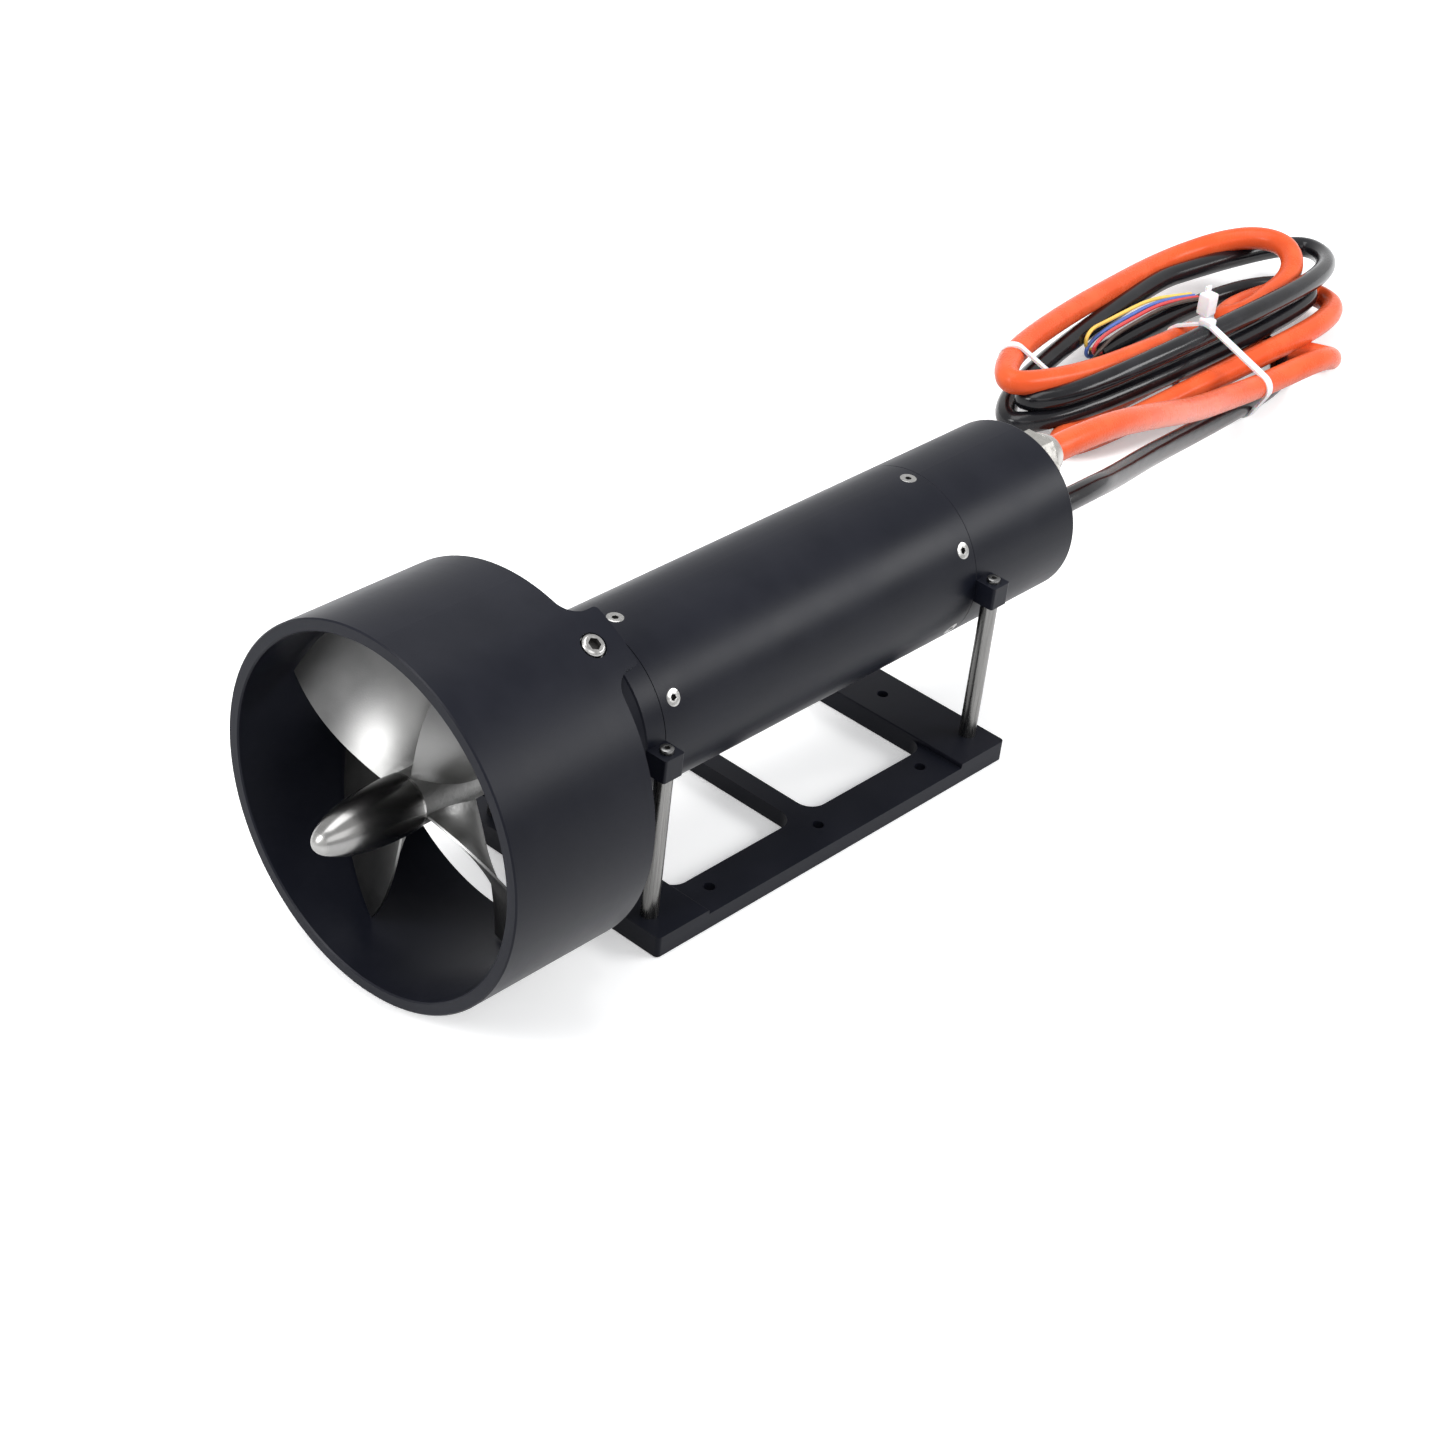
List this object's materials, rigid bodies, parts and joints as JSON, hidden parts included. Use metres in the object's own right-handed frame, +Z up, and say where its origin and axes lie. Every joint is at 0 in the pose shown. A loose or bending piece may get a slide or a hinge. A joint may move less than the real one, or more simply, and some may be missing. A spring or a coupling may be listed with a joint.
{
  "type": "underwater thruster",
  "caption": "Ducted underwater thruster with a sealed motor tube, swept arms, a plate stand on posts, and two cables coiled behind it.",
  "frame": {"origin": "centre of the base plate's underside, on the surface that the thruster stands on", "axes": "+X along the thruster axis from the nose cone towards the cables, +Z up"},
  "size_m": [0.8995, 0.2802, 0.165],
  "materials": {
    "black_anodised": "satin black anodised",
    "stainless": "bright",
    "polished_steel": "polished",
    "cast_blade": "satin cast",
    "nickel": "nickel plated",
    "bearing_steel": "ground",
    "lamination": "laminated",
    "copper": "enamelled copper",
    "magnet": "nickel plated magnet",
    "seal_rubber": "matt",
    "cage_plastic": "moulded",
    "orange_jacket": "glossy",
    "black_jacket": "glossy",
    "core_insulation": "glossy",
    "nylon": "translucent white"
  },
  "bodies": {
    "housing": {"duct_shroud": "black_anodised", "duct_screw_washers": "stainless", "duct_screws": "stainless", "front_cap": "black_anodised", "motor_tube": "black_anodised", "tube_screws_front": "stainless", "tube_screws_rear": "stainless", "front_cap_seals": "seal_rubber", "rear_cap_seals": "seal_rubber", "rear_cap": "black_anodised", "base_plate": "black_anodised", "front_right_post": "stainless", "front_left_post": "stainless", "rear_right_post": "stainless", "rear_left_post": "stainless", "post_top_screws": "stainless", "post_bottom_screws": "stainless", "front_bearing_outer_race": "bearing_steel", "front_bearing_cage": "cage_plastic", "rear_bearing_outer_race": "bearing_steel", "rear_bearing_cage": "cage_plastic", "shaft_seal": "seal_rubber", "wave_spring": "bearing_steel", "rear_bearing_holder": "black_anodised", "stator_core": "lamination", "stator_windings": "copper", "orange_gland_body": "nickel", "orange_gland_nut": "nickel", "orange_gland_seal": "seal_rubber", "black_gland_body": "nickel", "black_gland_nut": "nickel", "black_gland_seal": "seal_rubber", "orange_cable": "orange_jacket", "black_cable": "black_jacket", "cable_coil": "black_jacket", "cable_ties": "nylon", "core_wires": "core_insulation"},
    "rotor": {"shaft": "stainless", "propeller": "cast_blade", "nose_cone": "polished_steel", "drive_pin": "stainless", "rotor_core": "lamination", "rotor_magnets": "magnet", "front_bearing_inner_race": "bearing_steel", "rear_bearing_inner_race": "bearing_steel"}
  },
  "joints": [
    {"name": "prop_spin", "type": "hinge", "parent": "housing", "child": "rotor", "pos_m": [-0.17, 0, 0.0845], "axis": [1, 0, 0], "continuous": true}
  ]
}
